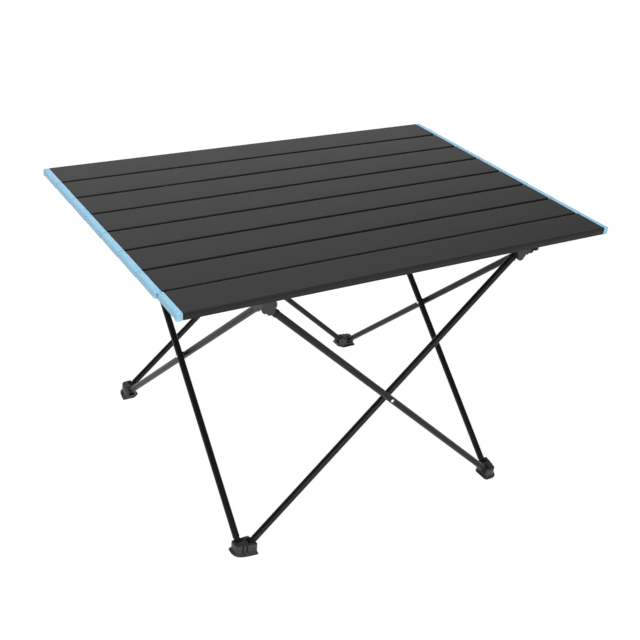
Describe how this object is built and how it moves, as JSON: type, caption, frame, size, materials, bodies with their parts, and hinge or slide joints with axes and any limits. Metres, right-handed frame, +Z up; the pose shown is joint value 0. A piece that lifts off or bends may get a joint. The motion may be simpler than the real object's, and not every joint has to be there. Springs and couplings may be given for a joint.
{
  "type": "folding camp table",
  "caption": "Low folding camp table: a roll-up top of aluminium slats with plastic end caps on a square scissor frame of crossed tubes with moulded feet and top hubs.",
  "frame": {"origin": "on the floor, under the middle of the table top", "axes": "+X to the right along the slats, +Y to the back across the slats, +Z up"},
  "size_m": [0.5621, 0.3886, 0.342],
  "materials": {
    "anodised_slat": "fine satin charcoal anodising",
    "blue_plastic": "light blue moulded plastic, satin",
    "elastic_cord": "black elastic shock cord, matt",
    "black_tube": "black anodised drawn tube, half gloss",
    "black_plastic": "black moulded nylon, satin",
    "rivet_steel": "bright plated steel"
  },
  "bodies": {
    "foot_front_left": {"foot_front_left": "black_plastic"},
    "foot_front_right": {"foot_front_right": "black_plastic"},
    "foot_back_right": {"foot_back_right": "black_plastic"},
    "foot_back_left": {"foot_back_left": "black_plastic"},
    "tube_front_inner": {"leg_tube_front_inner": "black_tube", "crossing_rivet_front": "rivet_steel"},
    "tube_front_outer": {"leg_tube_front_outer": "black_tube"},
    "tube_right_inner": {"leg_tube_right_inner": "black_tube", "crossing_rivet_right": "rivet_steel"},
    "tube_right_outer": {"leg_tube_right_outer": "black_tube"},
    "tube_back_inner": {"leg_tube_back_inner": "black_tube"},
    "tube_back_outer": {"leg_tube_back_outer": "black_tube", "crossing_rivet_back": "rivet_steel"},
    "tube_left_inner": {"leg_tube_left_inner": "black_tube"},
    "tube_left_outer": {"leg_tube_left_outer": "black_tube", "crossing_rivet_left": "rivet_steel"},
    "hub_front_left": {"top_hub_front_left": "black_plastic"},
    "hub_front_right": {"top_hub_front_right": "black_plastic"},
    "hub_back_right": {"top_hub_back_right": "black_plastic"},
    "hub_back_left": {"top_hub_back_left": "black_plastic"},
    "slat_1": {"slat_1": "anodised_slat", "end_cap_left_1": "blue_plastic", "end_cap_right_1": "blue_plastic", "elastic_cord_left_1": "elastic_cord", "elastic_cord_right_1": "elastic_cord"},
    "slat_2": {"slat_2": "anodised_slat", "end_cap_left_2": "blue_plastic", "end_cap_right_2": "blue_plastic", "elastic_cord_left_2": "elastic_cord", "elastic_cord_right_2": "elastic_cord"},
    "slat_3": {"slat_3": "anodised_slat", "end_cap_left_3": "blue_plastic", "end_cap_right_3": "blue_plastic", "elastic_cord_left_3": "elastic_cord", "elastic_cord_right_3": "elastic_cord"},
    "slat_4": {"slat_4": "anodised_slat", "end_cap_left_4": "blue_plastic", "end_cap_right_4": "blue_plastic", "elastic_cord_left_4": "elastic_cord", "elastic_cord_right_4": "elastic_cord"},
    "slat_5": {"slat_5": "anodised_slat", "end_cap_left_5": "blue_plastic", "end_cap_right_5": "blue_plastic", "elastic_cord_left_5": "elastic_cord", "elastic_cord_right_5": "elastic_cord"},
    "slat_6": {"slat_6": "anodised_slat", "end_cap_left_6": "blue_plastic", "end_cap_right_6": "blue_plastic", "elastic_cord_left_6": "elastic_cord", "elastic_cord_right_6": "elastic_cord"},
    "slat_7": {"slat_7": "anodised_slat", "end_cap_left_7": "blue_plastic", "end_cap_right_7": "blue_plastic", "elastic_cord_left_7": "elastic_cord", "elastic_cord_right_7": "elastic_cord"},
    "slat_8": {"slat_8": "anodised_slat", "end_cap_left_8": "blue_plastic", "end_cap_right_8": "blue_plastic", "elastic_cord_left_8": "elastic_cord", "elastic_cord_right_8": "elastic_cord"}
  },
  "joints": [
    {"name": "frame_fold", "type": "hinge", "parent": "foot_front_left", "child": "tube_front_inner", "pos_m": [-0.1736, -0.1773, 0.0098], "axis": [0, -1, 0], "range_deg": [0, 44]},
    {"name": "hub_front_right_swing", "type": "hinge", "parent": "tube_front_inner", "child": "hub_front_right", "pos_m": [0.1672, -0.1693, 0.3208], "axis": [0, -1, 0], "range_deg": [-44, 0]},
    {"name": "front_crossing", "type": "hinge", "parent": "tube_front_inner", "child": "tube_front_outer", "pos_m": [-0.0032, -0.1778, 0.1653], "axis": [0, -1, 0], "range_deg": [-88, 0]},
    {"name": "foot_front_right_swing", "type": "hinge", "parent": "tube_front_outer", "child": "foot_front_right", "pos_m": [0.1672, -0.1833, 0.0098], "axis": [0, -1, 0], "range_deg": [0, 44]},
    {"name": "hub_front_left_swing", "type": "hinge", "parent": "tube_front_outer", "child": "hub_front_left", "pos_m": [-0.1736, -0.1813, 0.3208], "axis": [0, -1, 0], "range_deg": [0, 44]},
    {"name": "left_tube_swing", "type": "hinge", "parent": "foot_front_left", "child": "tube_left_outer", "pos_m": [-0.1865, -0.1704, 0.0098], "axis": [1, 0, 0], "range_deg": [0, 44]},
    {"name": "hub_back_left_swing", "type": "hinge", "parent": "tube_left_outer", "child": "hub_back_left", "pos_m": [-0.1845, 0.1704, 0.3208], "axis": [1, 0, 0], "range_deg": [-44, 0]},
    {"name": "left_crossing", "type": "hinge", "parent": "tube_left_outer", "child": "tube_left_inner", "pos_m": [-0.181, 0, 0.1653], "axis": [1, 0, 0], "range_deg": [-88, 0]},
    {"name": "foot_back_left_swing", "type": "hinge", "parent": "tube_left_inner", "child": "foot_back_left", "pos_m": [-0.1805, 0.1704, 0.0098], "axis": [1, 0, 0], "range_deg": [0, 44]},
    {"name": "right_tube_swing", "type": "hinge", "parent": "foot_front_right", "child": "tube_right_inner", "pos_m": [0.1741, -0.1704, 0.0098], "axis": [1, 0, 0], "range_deg": [0, 44]},
    {"name": "hub_back_right_swing", "type": "hinge", "parent": "tube_right_inner", "child": "hub_back_right", "pos_m": [0.1661, 0.1704, 0.3208], "axis": [1, 0, 0], "range_deg": [-44, 0]},
    {"name": "right_crossing", "type": "hinge", "parent": "tube_right_inner", "child": "tube_right_outer", "pos_m": [0.1746, 0, 0.1653], "axis": [1, 0, 0], "range_deg": [-88, 0]},
    {"name": "foot_back_right_swing", "type": "hinge", "parent": "tube_right_outer", "child": "foot_back_right", "pos_m": [0.1801, 0.1704, 0.0098], "axis": [1, 0, 0], "range_deg": [0, 44]},
    {"name": "back_tube_swing", "type": "hinge", "parent": "foot_back_left", "child": "tube_back_outer", "pos_m": [-0.1736, 0.1833, 0.0098], "axis": [0, -1, 0], "range_deg": [0, 44]},
    {"name": "back_crossing", "type": "hinge", "parent": "tube_back_outer", "child": "tube_back_inner", "pos_m": [-0.0032, 0.1778, 0.1653], "axis": [0, -1, 0], "range_deg": [-88, 0]},
    {"name": "top_lift", "type": "slide", "parent": "hub_front_left", "child": "slat_1", "axis": [0, 0, 1], "range_m": [0, 0.12]},
    {"name": "top_roll", "type": "hinge", "parent": "slat_1", "child": "slat_2", "pos_m": [0, -0.147, 0.342], "axis": [1, 0, 0], "range_deg": [0, 42]},
    {"name": "slat_3_roll", "type": "hinge", "parent": "slat_2", "child": "slat_3", "pos_m": [0, -0.09855, 0.342], "axis": [1, 0, 0], "range_deg": [0, 42]},
    {"name": "slat_4_roll", "type": "hinge", "parent": "slat_3", "child": "slat_4", "pos_m": [0, -0.04955, 0.342], "axis": [1, 0, 0], "range_deg": [0, 42]},
    {"name": "slat_5_roll", "type": "hinge", "parent": "slat_4", "child": "slat_5", "pos_m": [0, -0.00055, 0.342], "axis": [1, 0, 0], "range_deg": [0, 42]},
    {"name": "slat_6_roll", "type": "hinge", "parent": "slat_5", "child": "slat_6", "pos_m": [0, 0.04845, 0.342], "axis": [1, 0, 0], "range_deg": [0, 42]},
    {"name": "slat_7_roll", "type": "hinge", "parent": "slat_6", "child": "slat_7", "pos_m": [0, 0.09745, 0.342], "axis": [1, 0, 0], "range_deg": [0, 42]},
    {"name": "slat_8_roll", "type": "hinge", "parent": "slat_7", "child": "slat_8", "pos_m": [0, 0.14645, 0.342], "axis": [1, 0, 0], "range_deg": [0, 42]}
  ],
  "couplings": [
    {"joint": "hub_front_right_swing", "follows": "frame_fold", "ratio": -1},
    {"joint": "front_crossing", "follows": "frame_fold", "ratio": -2},
    {"joint": "foot_front_right_swing", "follows": "frame_fold", "ratio": 1},
    {"joint": "hub_front_left_swing", "follows": "frame_fold", "ratio": 1},
    {"joint": "left_tube_swing", "follows": "frame_fold", "ratio": 1},
    {"joint": "hub_back_left_swing", "follows": "frame_fold", "ratio": -1},
    {"joint": "left_crossing", "follows": "frame_fold", "ratio": -2},
    {"joint": "foot_back_left_swing", "follows": "frame_fold", "ratio": 1},
    {"joint": "right_tube_swing", "follows": "frame_fold", "ratio": 1},
    {"joint": "hub_back_right_swing", "follows": "frame_fold", "ratio": -1},
    {"joint": "right_crossing", "follows": "frame_fold", "ratio": -2},
    {"joint": "foot_back_right_swing", "follows": "frame_fold", "ratio": 1},
    {"joint": "back_tube_swing", "follows": "frame_fold", "ratio": 1},
    {"joint": "back_crossing", "follows": "frame_fold", "ratio": -2},
    {"joint": "slat_3_roll", "follows": "top_roll", "ratio": 1},
    {"joint": "slat_4_roll", "follows": "top_roll", "ratio": 1},
    {"joint": "slat_5_roll", "follows": "top_roll", "ratio": 1},
    {"joint": "slat_6_roll", "follows": "top_roll", "ratio": 1},
    {"joint": "slat_7_roll", "follows": "top_roll", "ratio": 1},
    {"joint": "slat_8_roll", "follows": "top_roll", "ratio": 1}
  ]
}
